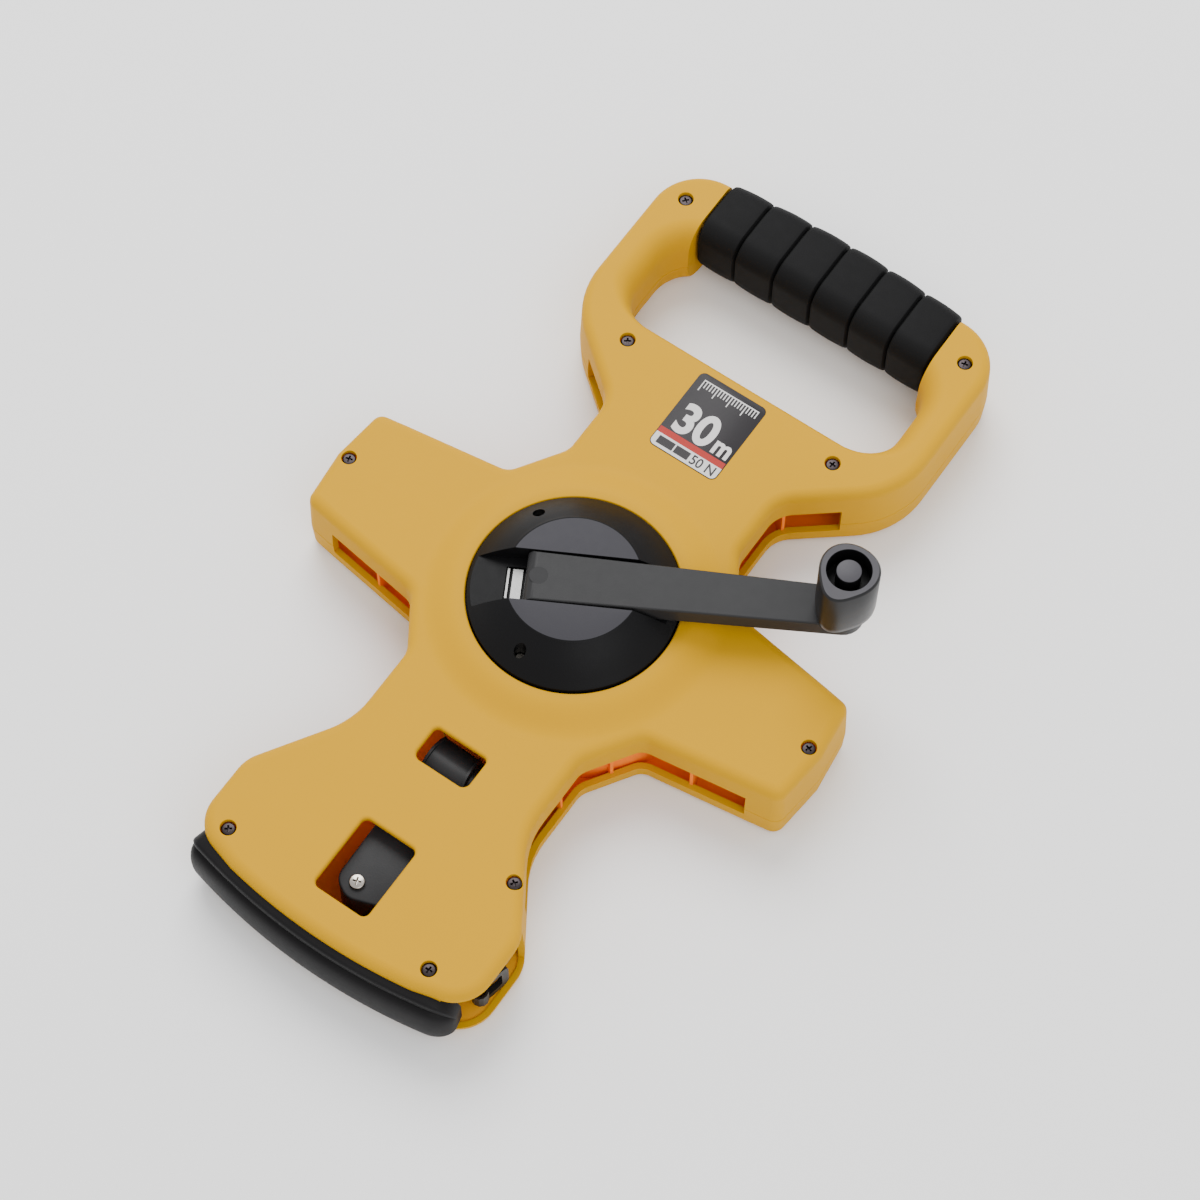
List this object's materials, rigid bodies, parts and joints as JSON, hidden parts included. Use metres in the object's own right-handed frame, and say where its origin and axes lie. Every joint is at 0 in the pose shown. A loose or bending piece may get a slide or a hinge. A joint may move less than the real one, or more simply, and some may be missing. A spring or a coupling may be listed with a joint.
{
  "type": "surveyor tape reel",
  "caption": "Open-frame hand reel for a long surveying tape: two-shell casing with a carrying handle, a folding crank and a geared drum.",
  "frame": {"origin": "on the casing's flat back, under the drum's axis", "axes": "+Z from the back to the crank side, along the drum axis; +Y towards the carrying handle; +X to the right, seen from the crank side"},
  "size_m": [0.2084, 0.3374, 0.0769],
  "materials": {
    "casing_yellow": "satin moulded ABS, orange-yellow",
    "grip_rubber": "matte ribbed rubber",
    "bumper_rubber": "matte rubber",
    "hub_plastic": "fine-grained black plastic",
    "arm_plastic": "satin black plastic",
    "knob_plastic": "satin black plastic",
    "knob_insert": "grey plastic cap",
    "black_steel": "black-coated steel",
    "bright_steel": "zinc-plated or stainless steel",
    "guide_plastic": "black moulded plastic",
    "gear_nylon": "natural nylon",
    "tape_blade": "nylon-coated steel blade, yellow",
    "wiper_felt": "pressed felt",
    "label_print": "printed film"
  },
  "bodies": {
    "casing": {"front_shell": "casing_yellow", "rear_shell": "casing_yellow", "grip_front": "grip_rubber", "grip_rear": "grip_rubber", "bumper": "bumper_rubber", "label": "label_print", "case_screw_1": "black_steel", "case_screw_2": "black_steel", "case_screw_3": "black_steel", "case_screw_4": "black_steel", "case_screw_5": "black_steel", "case_screw_6": "black_steel", "case_screw_7": "black_steel", "case_screw_8": "black_steel", "case_screw_9": "black_steel", "tape_guide": "guide_plastic", "guide_screw": "bright_steel", "wiper_pad_1": "wiper_felt", "wiper_pad_2": "wiper_felt", "ring_gear": "guide_plastic", "ring_screw_1": "bright_steel", "ring_screw_2": "bright_steel", "ring_screw_3": "bright_steel", "spindle": "bright_steel", "retaining_clip": "bright_steel", "tape_lead": "tape_blade", "tape_end_clip": "bright_steel", "roller_pin_1": "bright_steel", "roller_pin_2": "bright_steel"},
    "drum": {"drum": "guide_plastic", "drum_flange": "guide_plastic", "drum_bush": "gear_nylon", "sun_gear": "gear_nylon", "tape_coil": "tape_blade"},
    "crank": {"crank_hub": "hub_plastic", "planet_carrier": "guide_plastic", "carrier_bush": "bright_steel", "planet_pin_1": "bright_steel", "planet_pin_2": "bright_steel", "planet_pin_3": "bright_steel", "hub_screw_1": "bright_steel", "hub_screw_2": "bright_steel", "hub_screw_3": "bright_steel", "hinge_pin": "bright_steel", "detent_spring": "bright_steel"},
    "planet_1": {"planet_gear_1": "gear_nylon"},
    "planet_2": {"planet_gear_2": "gear_nylon"},
    "planet_3": {"planet_gear_3": "gear_nylon"},
    "arm": {"crank_arm": "arm_plastic", "knob_pin": "knob_insert"},
    "knob": {"knob": "knob_plastic"},
    "roller_1": {"mouth_roller_1": "gear_nylon"},
    "roller_2": {"mouth_roller_2": "gear_nylon"},
    "end_ring": {"end_ring": "black_steel"}
  },
  "joints": [
    {"name": "drum_spin", "type": "hinge", "parent": "casing", "child": "drum", "pos_m": [0, 0, 0.012], "axis": [0, 0, -1], "continuous": true},
    {"name": "crank_spin", "type": "hinge", "parent": "casing", "child": "crank", "pos_m": [0, 0, 0.033], "axis": [0, 0, -1], "continuous": true},
    {"name": "planet_1_spin", "type": "hinge", "parent": "crank", "child": "planet_1", "pos_m": [-0.01979, 0.00052, 0.026], "axis": [0, 0, -1], "continuous": true},
    {"name": "planet_2_spin", "type": "hinge", "parent": "crank", "child": "planet_2", "pos_m": [0.00945, -0.0174, 0.026], "axis": [0, 0, -1], "continuous": true},
    {"name": "planet_3_spin", "type": "hinge", "parent": "crank", "child": "planet_3", "pos_m": [0.01035, 0.01688, 0.026], "axis": [0, 0, -1], "continuous": true},
    {"name": "crank_fold", "type": "hinge", "parent": "crank", "child": "arm", "pos_m": [-0.01142, -0.0062, 0.04515], "axis": [0.4772, -0.8788, 0], "range_deg": [0, 180]},
    {"name": "knob_spin", "type": "hinge", "parent": "arm", "child": "knob", "pos_m": [0.08217, 0.04461, 0.06], "axis": [0, 0, 1], "continuous": true},
    {"name": "mouth_roller_1_spin", "type": "hinge", "parent": "casing", "child": "roller_1", "pos_m": [0.04688, -0.11844, 0.0129], "axis": [0, 0, 1], "continuous": true},
    {"name": "mouth_roller_2_spin", "type": "hinge", "parent": "casing", "child": "roller_2", "pos_m": [0.04109, -0.12388, 0.0129], "axis": [0, 0, 1], "continuous": true},
    {"name": "end_ring_swing", "type": "hinge", "parent": "casing", "child": "end_ring", "pos_m": [0.05357, -0.13136, 0.0129], "axis": [0, 0, -1], "range_deg": [0, 124]}
  ],
  "couplings": [
    {"joint": "crank_spin", "follows": "drum_spin", "ratio": 0.33333},
    {"joint": "planet_1_spin", "follows": "drum_spin", "ratio": -1.3333},
    {"joint": "planet_2_spin", "follows": "drum_spin", "ratio": -1.3333},
    {"joint": "planet_3_spin", "follows": "drum_spin", "ratio": -1.3333}
  ]
}
